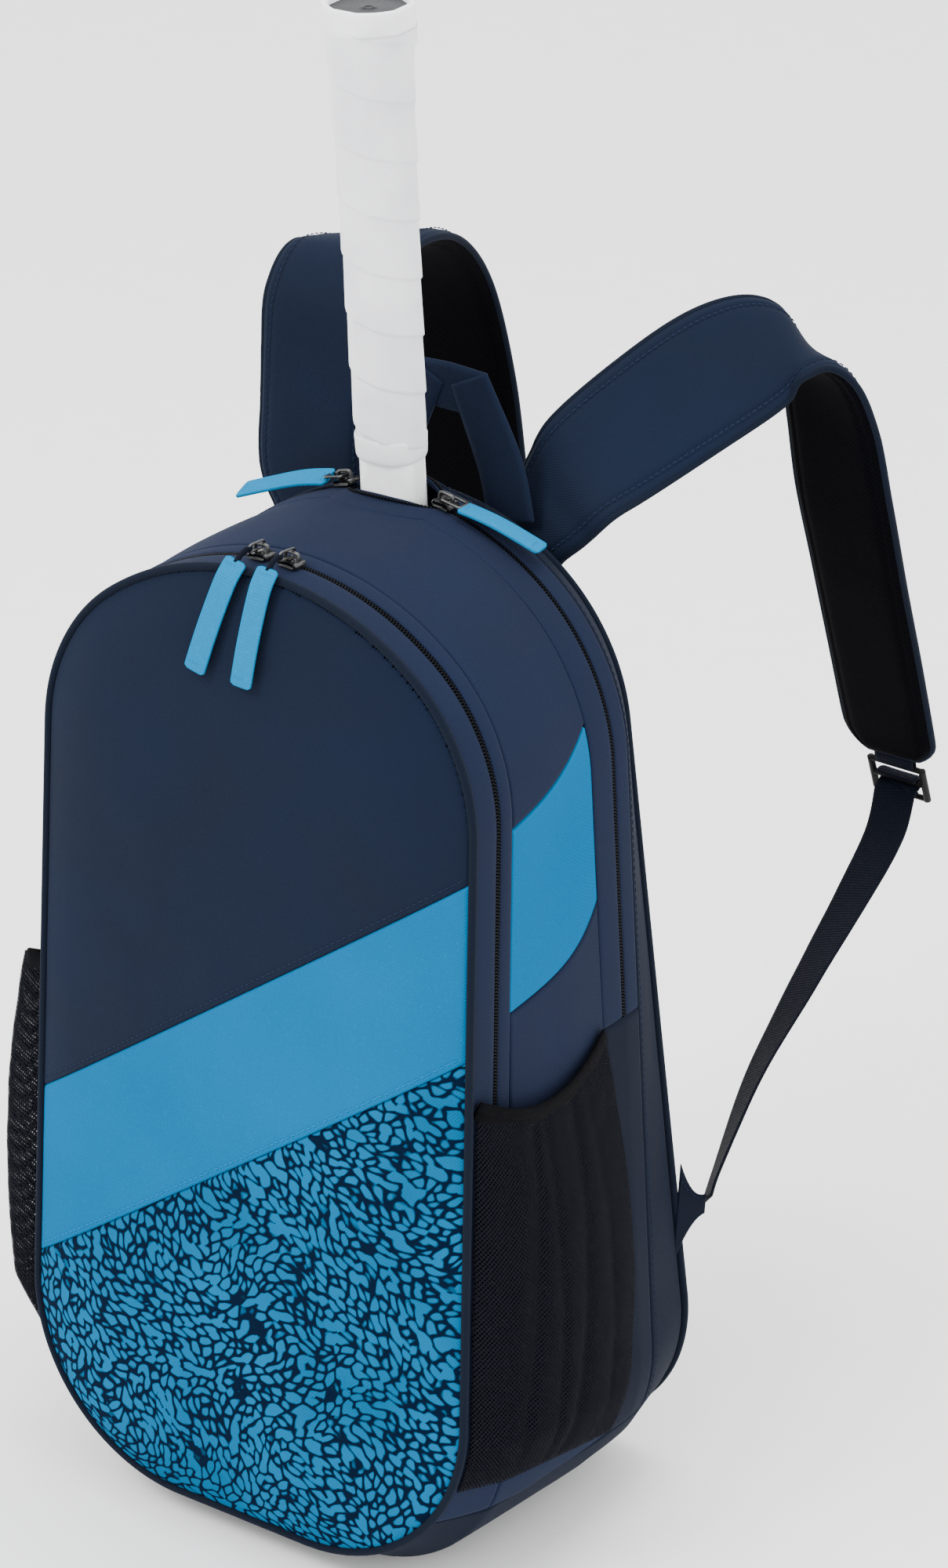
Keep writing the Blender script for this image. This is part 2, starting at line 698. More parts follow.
def low_strips(d0, d1, z_top, bulge, seed, mat, roll):
    """the skin below a zip's ends, one strip on each side"""
    strips = []
    for s in (-1, 1):
        def side_range(dv, s=s):
            a, b = t_at_d(dv, z_top), t_at_d(dv, BOOT)
            return (a, b) if s > 0 else (-b, -a)
        p = skin_grid(d0, d1, 0, 16, 110, bulge=bulge, seed=seed, big=0.5, small=0.2, t_range=side_range)
        strips.append(skin_cloth("low", p, mat, roll))
    return strips


# front zip band: two welts with the coil between them
for name, node, d0, d1, nd, bulge, seed, roll in (
    ("front_welt_outer", "front_zip_tape_outer", 0.06, 2.09, 13, 0.5, 2, (1.0, 1.3, 0.5, 0.5)),
    ("front_welt_inner", "front_zip_tape_inner", 2.25, 3.0, 9, 0.4, 3, (1.3, 1.1, 0.5, 0.5)),
):
    p = skin_grid(d0, d1, ZIP1, nd, 420, bulge=bulge, seed=seed, big=0.3, small=0.12)
    finish_piece(skin_cloth(name, p, "navy_light", roll), "bag", [node])


TOOTH_FACES = [(0, 1, 5, 4), (1, 2, 6, 5), (2, 3, 7, 6), (3, 0, 4, 7), (4, 5, 6, 7), (3, 2, 1, 0)]


def coil(name, d_mid, z_end, gap_rule=None):
    """a strip of woven tape with the coil's ribs standing on it"""
    te = t_at_d(d_mid, z_end)
    line = surf(d_mid, np.linspace(-te, te, 2200), -0.7)
    line, _ = resample(line, 1.5)
    run = unit(np.gradient(line, axis=0))
    out = outward(line)
    out -= run * np.sum(out * run, axis=1, keepdims=True)
    out = unit(out)
    side = np.cross(run, out)
    verts, faces, uvs = [], [], []
    for i, q in enumerate(line):
        if gap_rule is not None and gap_rule(q):
            continue
        for sgn in (-1, 1):
            base = len(verts)
            shift = run[i] * (0.38 if sgn > 0 else -0.38)
            for a, b, c in (
                (-0.5, 0.0, 0.0), (0.5, 0.0, 0.0), (0.5, 1.75, 0.0), (-0.5, 1.75, 0.0),
                (-0.34, 0.05, 0.85), (0.34, 0.05, 0.85), (0.34, 1.5, 0.7), (-0.34, 1.5, 0.7),
            ):
                v = q + shift + run[i] * a + side[i] * (sgn * b) + out[i] * c
                verts.append(v)
                uvs.append((a, b))
            for f in TOOTH_FACES:
                f = tuple(base + k for k in f)
                faces.append(f if sgn > 0 else f[::-1])
    return make(name, verts, faces, M["coil"], uvs)


front_coil = coil("front_zip_coil", 2.16, ZIP1)
p = skin_grid(1.95, 2.38, ZIP1, 5, 420, seed=3, big=0, small=0)
p = p - outward(p) * 1.0
bed = skin_cloth("bed", p, "bed", (0, 0, 0, 0), 0.6)
finish_piece(join("front_zip_coil", [front_coil, bed]), "bag", ["front_zip_chain"])


def in_mouth(q):
    return q[2] > 430 and abs(q[0] - MOUTH_X) < 22


main_coil = coil("main_zip_coil", 5.5, ZIP2, in_mouth)
beds = []
for lo, hi in ((-1, -0.001), (0.001, 1)):
    def rng_t(dv, lo=lo, hi=hi):
        te = t_at_d(dv, ZIP2)
        gap = 22.0 / TABLES[5][1]
        centre = MOUTH_X / TABLES[5][1]
        return (-te, centre - gap) if lo < 0 else (centre + gap, te)
    p = skin_grid(4.95, 6.05, ZIP2, 5, 200, t_range=rng_t, big=0, small=0)
    p = p - outward(p) * 1.0
    beds.append(skin_cloth("bed", p, "bed", (0, 0, 0, 0), 0.6))
finish_piece(join("main_zip_coil", [main_coil] + beds), "bag", ["main_zip_chain"])


def lip_coil(name, sign):
    """the parted half of the coil along one lip of the mouth"""
    x = np.linspace(MOUTH_X - 23, MOUTH_X + 23, 120)
    b = mouth(x)
    z = 348 + np.sqrt(120.0 ** 2 - x ** 2)
    y = 39.0 - 15.5 * b if sign < 0 else 41.5 + 13.0 * b
    lift = (0.8 + 2.6) * b if sign < 0 else 4.0 * b
    line, _ = resample(np.stack([x, y, z + lift - 0.3], axis=1), 1.5)
    verts, faces, uvs = [], [], []
    for q in line:
        base = len(verts)
        for a, bb, c in (
            (-0.45, -0.8, -0.4), (0.45, -0.8, -0.4), (0.45, 0.8, -0.4), (-0.45, 0.8, -0.4),
            (-0.3, -0.7, 0.5), (0.3, -0.7, 0.5), (0.3, 0.7, 0.5), (-0.3, 0.7, 0.5),
        ):
            verts.append(q + np.array([a, bb, c]))
            uvs.append((a, bb))
        faces += [tuple(base + k for k in f) for f in TOOTH_FACES]
    return make(name, verts, faces, M["coil"], uvs)


for part, d0, d1, seed, roll, sign, nodes in (
    ("front", 4.02, 5.30, 4, (0.35, 1.2, 0.5, 0.5), -1, ["main_zip_tape_front", "zip_lips"]),
    ("rear", 5.70, 6.98, 5, (1.2, 1.1, 0.5, 0.5), 1, ["main_zip_tape_rear"]),
):
    p = skin_grid(d0, d1, ZIP2, 11, 460, bulge=0.4, seed=seed, big=0.25, small=0.1)
    tape = skin_cloth("main_tape_" + part, pull_lips(p, part + "_tape"), "navy_light", roll)
    finish_piece(join("main_tape_" + part, [tape, lip_coil("lip", sign)]), "bag", nodes)


# ---- gusset, stripe, rear gusset, bottom -------------------------------------------
def stripe_edge(y, high):
    """height of the side stripe's upper or lower edge; both sweep up at the back"""
    u = np.clip((y + 55) / 79, 0, 1)
    if high:
        return 364 + 17 * u + 11 * u ** 3
    return 283 + 12 * u + 17 * u ** 5


def side_t(dv, rule):
    """t on the right side where height equals rule(y) at depth dv"""
    z = 330.0
    for _ in range(12):
        a = SECTIONS[3]["y"] + SECTIONS[3]["k"] * (Z_REF - z)
        y = a + (SECTIONS[4]["y"] - a) * (dv - 3)
        z = float(rule(y))
    return t_at_d(dv, z)


def t_high(dv):
    return side_t(dv, lambda y: stripe_edge(y, True))


def t_low(dv):
    return side_t(dv, lambda y: stripe_edge(y, False))


p = pull_lips(
    skin_grid(3, 4, 0, 46, 420, bulge=1.6, seed=6, big=0.9, small=0.3,
              t_range=lambda dv: (-t_at_d(dv, BOOT), t_high(dv))),
    "gusset",
)
g1 = skin_cloth("gusset_top", p, "navy_light", (1.3, 0.35, 0.6, 1.3))
p = skin_grid(3, 4, 0, 46, 160, bulge=1.6, seed=6, big=0.9, small=0.3,
              t_range=lambda dv: (t_low(dv), t_at_d(dv, BOOT)))
g2 = skin_cloth("gusset_low", p, "navy_light", (1.3, 0.5, 1.3, 0.6))
low_parts = low_strips(0.06, 3, ZIP1, 0.6, 7, "navy_light", (1.0, 1.2, 0.6, 0.6))
finish_piece(join("gusset_cloth", [g1, g2] + low_parts), "bag", ["gusset"])

p = skin_grid(3, 4, 0, 46, 110, bulge=1.6, seed=6, big=0.9, small=0.3, t_range=lambda dv: (t_high(dv), t_low(dv)))
finish_piece(skin_cloth("side_stripe_cloth", p, "blue", (1.3, 1.3, 1.3, 1.3)),
             "bag", ["side_stripe"])

p = pull_lips(skin_grid(7, 7.94, BOOT, 14, 520, bulge=0.5, seed=8, big=0.4, small=0.2), "rear")
r1 = skin_cloth("rear", p, "navy_rear", (1.2, 0.8, 0.6, 0.6))
rear_parts = [r1] + low_strips(4, 7, ZIP2, 0.7, 9, "navy_rear", (1.2, 0.6, 1.0, 0.6))
finish_piece(join("rear_gusset_cloth", rear_parts), "bag", ["rear_gusset"])

spans = ((0.06, 3, 18), (3, 4, 16), (4, 7, 8), (7, 7.94, 8))
rows = []
for dv in np.concatenate([np.linspace(*span)[min(i, 1):] for i, span in enumerate(spans)]):
    te = t_at_d(dv, BOOT)
    t = np.linspace(te, 2 - te, 200)
    rows.append(surf(dv, np.where(t <= 1, t, t - 2), 0.0))
p = np.array(rows)
o = outward(p)
p = p + o * (rumple(p, 0.5, 0.2, 11) * (p[..., 2] > 3))[..., None]
p[..., 2] = np.maximum(p[..., 2], 0.0)
finish_piece(skin_cloth("bottom_cloth", p, "navy_rear", (1.0, 0.8, 1.2, 1.2)),
             "bag", ["bottom_panel"])


# ---- front panel -------------------------------------------------------------------
def closed_outline(i, grow, n=1400):
    t = np.linspace(-1, 1, n, endpoint=False)
    x, z, nx, nz = on_section(i, t)
    return np.stack([x + grow * nx, z + grow * nz], axis=1), np.stack([nx, nz], axis=1)


EDGE, EDGE_N = closed_outline(0, 0.0)


def edge_depth(x, z):
    """distance inside the front panel's outline (negative outside)"""
    shape = x.shape
    q = np.stack([x.ravel(), z.ravel()], axis=1)
    out = np.empty(len(q))
    for a in range(0, len(q), 4000):
        b = q[a:a + 4000]
        d2 = ((b[:, None, :] - EDGE[None]) ** 2).sum(-1)
        i = d2.argmin(1)
        out[a:a + 4000] = -np.sum((b - EDGE[i]) * EDGE_N[i], axis=1)
    return out.reshape(shape)


def panel_y(x, z, depth):
    """front face of the domed pocket"""
    d = np.maximum(depth, 0)
    dome = 13.2 * (1 - np.exp(-d / 22.0))
    y = -60 + TILT * (Z_REF - z) - dome
    p = np.stack([x, y, z], axis=-1)
    fade = np.clip(d / 25, 0, 1)
    fold = 0.9 * noise(np.stack([x * 0.6, y * 0, z * 1.0 + 0.35 * x], axis=-1), 46, 4)
    return y - fade * (fold + 0.3 * noise(p, 17, 9))


def coral_field(x, z, seed=5):
    """closed cells of many shapes, parted by thin lines and flowing with a slow turn:
    positive inside a cell, negative on a line"""
    r = np.random.default_rng(seed)
    n = 96
    jit = r.random((n, n, 2)) * 0.9 + 0.05
    tag = r.random((n, n))
    p = np.stack([x, 0 * x, z], axis=-1)
    x = x + 1.0 * noise(p, 5.5, 2) + 2.2 * noise(p, 20, 5)
    z = z + 1.0 * noise(p, 5.5, 8) + 2.2 * noise(p, 20, 11)
    turn = 2.6 * noise(p, 48, 3) + 0.9 * noise(p, 17, 14) + 0.5
    c, s = np.cos(turn), np.sin(turn)
    gx, gz = x / 5.3 + 40, z / 5.3 + 20
    ci, cj = np.floor(gx).astype(int), np.floor(gz).astype(int)
    near = []
    for di in range(-2, 3):
        for dj in range(-2, 3):
            i, j = (ci + di) % n, (cj + dj) % n
            dx = ci + di + jit[i, j, 0] - gx
            dz = cj + dj + jit[i, j, 1] - gz
            along, across = dx * c + dz * s, dz * c - dx * s
            near.append((np.sqrt((along / 1.35) ** 2 + (across * 1.3) ** 2), tag[i, j]))
    f1 = np.min([d for d, _ in near], axis=0)
    own = np.zeros(x.shape)
    for d, g in near:
        own = np.where(d == f1, g, own)
    edge = np.full(x.shape, 9.0)
    for d, g in near:
        joined = (d == f1) | (((own + g) % 1.0) < 0.17)
        edge = np.where(joined, edge, np.minimum(edge, d - f1))
    speck = 0.045 * noise(p, 34, 19)
    return np.minimum(edge, 1.0) - 0.245 - speck - 0.06 * noise(p, 3.2, 21)


SLOPE, LEVEL_HIGH, LEVEL_LOW = 0.70, 274.0, 192.0
EDGE_KEEP = 0.4


def panel_zone(name, lo, hi, step, mat, roll_lo, roll_hi, field=False):
    """the part of the front panel between two sloping seam lines"""
    x = np.arange(-121, 121.01, step)
    n = int(round((hi - lo) / step))
    lev = lo + (hi - lo) * np.linspace(0, 1, n + 1)
    r = 1.6
    if roll_lo:
        lev = np.unique(np.concatenate([lev, lo + np.array([0.15, 0.4, 0.8, 1.3])]))
    if roll_hi:
        lev = np.unique(np.concatenate([lev, hi - np.array([0.15, 0.4, 0.8, 1.3])]))
    xx, ll = np.meshgrid(x, lev)
    zz = ll + SLOPE * xx
    depth = edge_depth(xx, zz)
    y = panel_y(xx, zz, depth)
    # the rolled seam edges and the tuck behind the piping
    sink = np.zeros_like(y)
    for on, d in ((roll_lo, (ll - lo) * 0.82), (roll_hi, (hi - ll) * 0.82)):
        if on:
            k = np.clip(d / r, 0, 1)
            sink = np.maximum(sink, r * (1 - np.sqrt(1 - (1 - k) ** 2)))
    k = np.clip((depth - EDGE_KEEP) / 2.2, 0, 1)
    sink = np.maximum(sink, 1.8 * (1 - np.sqrt(1 - (1 - k) ** 2)))
    y = y + sink
    keep = depth > EDGE_KEEP - 0.01
    nr, nc = xx.shape
    front = np.stack([xx, y, zz], axis=-1).reshape(-1, 3)
    back = front + np.array([0, 1.5, 0])
    faces = []
    kf = keep[:-1, :-1] & keep[1:, :-1] & keep[:-1, 1:] & keep[1:, 1:]
    rr, cc = np.nonzero(kf)
    m = nr * nc
    edges = {}
    for a, b in zip(rr.tolist(), cc.tolist()):
        i = a * nc + b
        q = (i, i + 1, i + nc + 1, i + nc)
        faces.append(q)
        faces.append(tuple(j + m for j in reversed(q)))
        for e in ((q[0], q[1]), (q[1], q[2]), (q[2], q[3]), (q[3], q[0])):
            if (e[1], e[0]) in edges:
                del edges[(e[1], e[0])]
            else:
                edges[e] = True
    for a, b in edges:
        faces.append((b, a, a + m, b + m))
    verts = np.concatenate([front, back])
    used = np.zeros(len(verts), bool)
    used[np.unique(np.array([i for f in faces for i in f]))] = True
    remap = np.cumsum(used) - 1
    faces = [tuple(int(remap[i]) for i in f) for f in faces]
    uv = np.concatenate([front[:, [0, 2]], front[:, [0, 2]]])[used]
    obj = make(name, verts[used], faces, mat, uv)
    if field:
        at = obj.data.attributes.new("coral", "FLOAT", "POINT")
        v = verts[used]
        at.data.foreach_set("value", coral_field(v[:, 0], v[:, 2]).astype(np.float32))
    return obj


fine = 0.6
finish_piece(panel_zone("front_panel_cloth", LEVEL_HIGH, 560, 1.5, M["navy"], True, False),
             "bag", ["front_panel_upper"])
finish_piece(panel_zone("front_stripe_cloth", LEVEL_LOW, LEVEL_HIGH, 1.4, M["blue"], True, True),
             "bag", ["front_stripe"])
finish_piece(panel_zone("front_print_cloth", -90, LEVEL_LOW, fine, M["print"], False, True, True),
             "bag", ["front_print_panel"])


def panel_line(level, x0, x1, off):
    """points along a sloping seam on the panel, `off` mm above or below it"""
    x = np.linspace(x0, x1, 500)
    z = level + off * 1.22 + SLOPE * x
    d = edge_depth(x, z)
    y = panel_y(x, z, d)
    keep = d > 2.5
    return np.stack([x, y - 0.1, z], axis=1)[keep]


seams = [
    stitches("seam_high", panel_line(LEVEL_HIGH, -118, 118, 3.0), (0, -1, 0), M["thread"]),
    stitches("seam_low", panel_line(LEVEL_LOW, -118, 118, 3.0), (0, -1, 0), M["thread_blue"]),
]
finish_piece(join("front_seam_stitches", seams), "bag", ())


def ring_path(i, grow, dy=0.0, n=1400):
    pts, nn = closed_outline(i, grow, n)
    s = SECTIONS[i]
    return np.stack([pts[:, 0], s["y"] + s["k"] * (Z_REF - pts[:, 1]) + dy, pts[:, 1]], axis=1), nn


for name, i, node in (("front_piping_cord", 0, "front_piping"), ("rear_piping_cord", 8, "rear_piping")):
    path, nn = ring_path(i, 0.1, -0.3 if i == 0 else 0.3)
    up = np.stack([nn[:, 0], 0 * nn[:, 0], nn[:, 1]], axis=1)
    cord = tube(name, path, 1.9, M["welt"], closed=True, sides=14, up=up)
    finish_piece(cord, "bag", [node])

# ---- pocket lining wall, back panel and pad, yoke ----------------------------------
def ring_sheet(name, i, inset, depth, mat, wave, turns, rings, top=None, thick=2.0, roll=1.5):
    """closed sheet inside section i's outline; depth gives y from x, z and how far in"""
    x0, z0, nx, nz = on_section(i, np.linspace(-1, 1, turns + 1)[:-1])
    rows = []
    for k in np.linspace(0, 1, rings):
        z = z0 - inset * nz
        if top is not None:
            z = np.minimum(z, top)
        middle = np.clip(z, 150, 330)
        x = (x0 - inset * nx) * (1 - k)
        z = middle + (z - middle) * (1 - k)
        rows.append(np.stack([x, depth(x, z, k), z], axis=-1))
    p = np.array(rows)
    p[..., 1] += rumple(p, *wave)
    return cloth(name, p, mat, facing(p, (0, 1, 0)), thick, (roll, 0, 0, 0), wrap=True, uv=p[..., [0, 2]])


def wall_depth(x, z, k):
    """fault, kept as it was: k's sign is turned round against surf(), so this wall leans
    back where section 3 leans forward, by up to 49 mm at the bottom; see report.md"""
    return SECTIONS[3]["y"] + SECTIONS[3]["k"] * (z - Z_REF) + 0.9


wall = ring_sheet("divider_lining", 3, 2.2, wall_depth, M["lining"], (0.5, 0.12, 29), 240, 18,
                  thick=0.6, roll=0.3)
finish_piece(wall, "bag", ["divider_panel"])

PAD_CHANNELS = (120, 200, 280, 352)


def back_depth(front, bulge, channels=False):
    """the back plane, domed backwards, with or without the pad's air channels"""
    def depth(x, z, k):
        edge = 1 - (1 - k) ** 3
        y = 64 + 0.05 * (Z_REF - z) + front + bulge * edge
        if channels:
            groove = np.exp(-((x / 9.0) ** 2)) * 0.75
            for zc in PAD_CHANNELS:
                groove = np.maximum(groove, np.exp(-(((z - zc - 0.16 * np.abs(x)) / 5.0) ** 2)) * 0.6)
            y = y - bulge * groove * edge
        return y
    return depth


BACK_WAVE = (0.3, 0.12, 13)
back = ring_sheet("back_panel_cloth", 8, 1.4, back_depth(2.6, 0.4), M["navy"], BACK_WAVE, 360, 26)
finish_piece(back, "bag", ["back_panel"])
pad = ring_sheet("back_pad_mesh", 8, 17.0, back_depth(3.6, 9.5, True), M["spacer"], BACK_WAVE, 360, 46,
                 top=398.0, thick=2.4)
finish_piece(pad, "bag", ["back_pad"])


def yb(z, off):
    return 64 + 0.05 * (Z_REF - z) + off


a, b, c, d = (np.array((x, yb(z, 4.4), z), float) for x, z in ((-75, 401), (75, 401), (75, 425), (-75, 425)))
u, v = spread(40)[None, :, None], spread(14)[:, None, None]
p = (a * (1 - u) + b * u) * (1 - v) + (d * (1 - u) + c * u) * v
yoke = cloth("yoke_cloth", p, M["navy"], facing(p, (0, 1, 0)), 1.2, (1.0,) * 4)
line = np.stack([np.linspace(-73, 73, 200), np.full(200, yb(423, 4.6)), np.full(200, 422.5)], axis=1)
st = stitches("st", line, (0, 1, 0), M["thread"])
finish_piece(join("yoke_cloth", [yoke, st]), "bag", ["yoke_patch"])


# ---- ribbons: straps, webbing, haul loop -------------------------------------------
def catmull(points, times):
    p = np.asarray(points, float)
    n = len(p)
    out = []
    for i in range(n - 1):
        a, b, c, d = p[max(i - 1, 0)], p[i], p[i + 1], p[min(i + 2, n - 1)]
        for j in range(times):
            t = j / times
            q = 2 * b + (c - a) * t + (2 * a - 5 * b + 4 * c - d) * t * t
            out.append(0.5 * (q + (3 * b - a - 3 * c + d) * t ** 3))
    out.append(p[-1])
    return np.array(out)


def frames_along(stations, side, step):
    c = catmull([s[0] for s in stations], 24)
    w = catmull([s[1] for s in stations], 24)
    seg = run_length(c)
    n = int(seg[-1] / step) + 1
    s = np.linspace(0, seg[-1], n)
    c, w = along_path(s, seg, c), along_path(s, seg, w)
    run = unit(np.gradient(c, axis=0))
    w = w - run * np.sum(w * run, axis=1, keepdims=True)
    return c, w, unit(np.cross(w, run)) * side, s


STRAP_R = [
    ((34, 73.6, 398), (14, 0, 0)), ((36, 75.3, 424), (16, -0.7, 0)), ((41, 79.5, 443.5), (18, -3, -3.5)),
    ((50, 84.2, 460.2), (21, -5.7, -9.8)), ((60.6, 93.8, 477.8), (20, -8, -18)),
    ((75, 135, 497), (19, -6, -22)), ((84, 166, 507), (18, -4, -22)), ((92, 187, 511), (17, -5, -18)),
    ((100, 199, 508), (20, -7, -9)), ((106, 207, 496), (23, -6, 0)), ((108, 216, 470), (25, -4, 4)),
    ((108, 227, 433), (26, -3, 3)), ((108, 242, 390), (26, -4, 4)), ((107, 261, 341), (26, -4, 4)),
    ((105, 278, 300), (25, -3, 4)), ((105, 284, 284), (23, -2, 4)),
]
STRAP_L = [
    ((-62, 74.2, 390), (-19, 0, -1)), ((-66, 75.5, 412), (-23, 0, -2)), ((-73, 78.4, 434), (-27, 0, -3)),
    ((-78, 79, 450), (-30, 0, -4)), ((-78, 80, 477), (-30, 0, -4)),
    ((-77, 82, 503), (-29, -3, 0)), ((-76, 87, 528), (-29, -6, 0)), ((-75, 104, 545), (-29, -8, -3)),
    ((-75, 136, 540), (-28, -8, -6)), ((-79, 168, 510), (-27, -8, -6)), ((-83, 192, 458), (-27, -8, -4)),
    ((-87, 208, 402), (-27, -8, -2)), ((-91, 222, 342), (-27, -8, -1)), ((-95, 231, 300), (-25, -7, 0)),
    ((-96, 235, 284), (-23, -6, 0)),
]
WEB_R = [
    ((108, 286, 259), (11, 0, 0)), ((111, 268, 249), (11, -1, 1)), ((115, 235, 231), (10.5, -1.5, 2)),
    ((120, 184, 205), (9.5, -3, 4)), ((124, 138, 178), (8, -4.2, 5.8)), ((128, 104, 148), (6.2, -5.3, 7.2)),
    ((129.6, 94, 138), (6.0, -5.4, 7.4)),
]
WEB_L = [
    ((-98, 233, 260), (-11, 0, 0)), ((-102, 216, 246), (-11, -1, 1)), ((-110, 180, 217), (-10.5, -1.5, 2)),
    ((-118, 146, 188), (-9.5, -3, 4)), ((-124, 120, 166), (-8, -4.2, 5.8)), ((-128, 102, 147), (-6.2, -5.3, 7.2)),
    ((-129.6, 94, 138), (-6.0, -5.4, 7.4)),
]
PAD = 4.4


def pad_half(name, fr, sign, mat, groove, seed):
    """outer or inner face of a shoulder pad: crowned, with a sewn channel near each edge"""
    c, w, n, s = fr
    u = np.sin(np.linspace(-math.pi / 2, math.pi / 2, 41))
    half = np.linalg.norm(w, axis=1)
    left = s[-1] - s
    end = np.sqrt(np.clip(1 - (np.clip(15 - left, 0, 15) / 15) ** 2 * 0.62, 0, 1))
    close = np.sqrt(np.clip(1 - (np.clip(5 - left, 0, 5) / 5) ** 2, 0, 1))
    x = u[None, :] * (half * end)[:, None]
    crown = (1 - np.abs(u) ** 7)[None, :] ** 0.6 * close[:, None] * np.ones((len(s), 1))
    inset = (half * end)[:, None] - np.abs(x)
    ditch = groove * np.exp(-(((inset - 5.2) / 1.1) ** 2))
    h = sign * (PAD * crown - ditch * close[:, None])
    wd = w / half[:, None]
    p = c[:, None] + x[..., None] * wd[:, None] + h[..., None] * n[:, None]
    ruff = rumple(p, 0.5, 0.35, seed) * (crown ** 2)
    p = p + (ruff * sign * 0.8)[..., None] * n[:, None]
    uv = np.stack([x, np.broadcast_to(s[:, None], x.shape)], axis=-1)
    out = np.broadcast_to((n * sign)[:, None], p.shape)
    obj = cloth(name, p, mat, out, thick=1.0, roll=(0, 0, 0, 0), uv=uv)
    edge = [c + wd * (k * (half * end - 5.2))[:, None] + n * sign * (PAD - 0.4) for k in (-1, 1)]
    return obj, edge, (c, wd, half * end, n, s)


def edge_loop(info, inset=0.3):
    """closed line round the rim of a pad"""
    c, wd, half, n, s = info
    a = c + wd * (half - inset)[:, None]
    b = c - wd * (half - inset)[:, None]
    tip = np.array([c[-1] + wd[-1] * k * half[-1] for k in (0.6, 0.2, -0.2, -0.6)])
    return np.vstack([a, tip, b[::-1]])


RIBBONS = {}
for name, pad_st, web_st, side, start, end in (
    ("right", STRAP_R, WEB_R, 1, (60, 92, 477), (80, 150, 500)),
    ("left", STRAP_L, WEB_L, -1, (-78, 80, 466), (-76, 130, 481)),
):
    body = "strap_" + name
    ends = [tuple(v * MM for v in q) for q in (start, end)]
    fr = frames_along(pad_st, side, 1.6)
    cover, lines, _ = pad_half("strap_cover", fr, 1, M["navy"], 0.9, 21 + side)
    sew = [stitches("st", q[4:-12], fr[2][4:-12], M["thread"]) for q in lines]
    cover = join("strap_cover_cloth_" + name, [cover] + sew)
    nodes = [part + name for part in ("strap_cover_", "strap_foam_", "strap_root_")]
    finish_piece(cover, None, nodes)
    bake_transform(cover)
    under, _, info = pad_half("strap_net", fr, -1, M["spacer"], 0.7, 31 + side)
    under.name = "strap_lining_mesh_" + name
    finish_piece(under, None, ["strap_lining_" + name])
    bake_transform(under)
    rim = tube("strap_binding_" + name, edge_loop(info), 1.7, M["welt"], sides=10, step=2.2)
    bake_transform(rim)

    # webbing over the ladder lock's middle bar, out between its two lower bars, on to the anchor tab
    run_end = unit(np.array(pad_st[-1][0], float) - np.array(pad_st[-2][0], float))
    wv = np.array(pad_st[-1][1], float)
    wv -= run_end * wv.dot(run_end)
    wv = unit(wv)
    nv = np.cross(wv, run_end) * side
    tip = np.array(pad_st[-1][0], float)

    def at(x, down, up=0.0):
        return tip + wv * x + run_end * down + nv * up

    flip = 1.0 if wv.dot(np.array(web_st[0][1], float)) > 0 else -1.0
    turn = [(16.0 + 3.15 * math.cos(g), 3.15 * math.sin(g))
            for g in map(math.radians, (180, 150, 120, 90, 60, 30, 5))]
    threaded = [
        (tuple(at(0, down, up)), tuple(wv * 11.0 * flip))
        for down, up in [(12.5, -3.2)] + turn + [(19.7, -2.0), (20.4, -4.6)]
    ]
    c, w, n, s = frames_along(threaded + list(web_st[1:]), side, 1.0)
    u = np.linspace(-1, 1, 15)
    half = np.linalg.norm(w, axis=1)
    x = u[None, :] * half[:, None]
    p = c[:, None] + x[..., None] * (w / half[:, None])[:, None] + n[:, None] * 0.75
    p = p + (0.3 * noise(p, 24, 5))[..., None] * n[:, None]
    uv = np.stack([x, np.broadcast_to(s[:, None], x.shape)], axis=-1)
    out = np.broadcast_to(n[:, None], p.shape)
    web = cloth("strap_webbing_cloth_" + name, p, M["web"], out, 1.5, (0, 0, 0.6, 0.6), uv=uv)
    finish_piece(web, None, ["strap_webbing_" + name])
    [tuple(v * MM for v in web_st[i][0]) for i in (-3, -1)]
    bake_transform(web)

    # ladder lock and the loop that holds it
    lock = [([(x, down) for x in (-15, -5, 5, 15)], r) for down, r in ((7.3, 1.5), (16.0, 1.6), (24.8, 1.5))]
    lock += [([(x, down) for down in (6.6, 12, 20, 25.6)], 1.75) for x in (-14.3, 14.3)]
    bars = [tube("bar", [at(*q) for q in line], r, M["plastic"], up=nv, step=1.5) for line, r in lock]
    finish_piece(join("ladder_lock_moulded_" + name, bars), body, ["ladder_lock_" + name])
    k = np.linspace(0, 2 * math.pi, 60)
    prof = np.stack([4.3 + 4.6 * np.cos(k), 2.1 * np.sin(k)], axis=1)
    xs = np.linspace(-10.6, 10.6, 15)
    p = np.array([[at(x, d, h) for x in xs] for d, h in prof])
    uv = np.stack(np.broadcast_arrays(xs[None, :], (k * 4)[:, None]), axis=-1)
    mid = at(0, 4.3)
    loop = cloth("strap_end_loop_cloth_" + name, p, M["web"], p - mid, 1.1, (0, 0, 0.5, 0.5), uv=uv)
    finish_piece(loop, body, ["strap_end_loop_" + name])

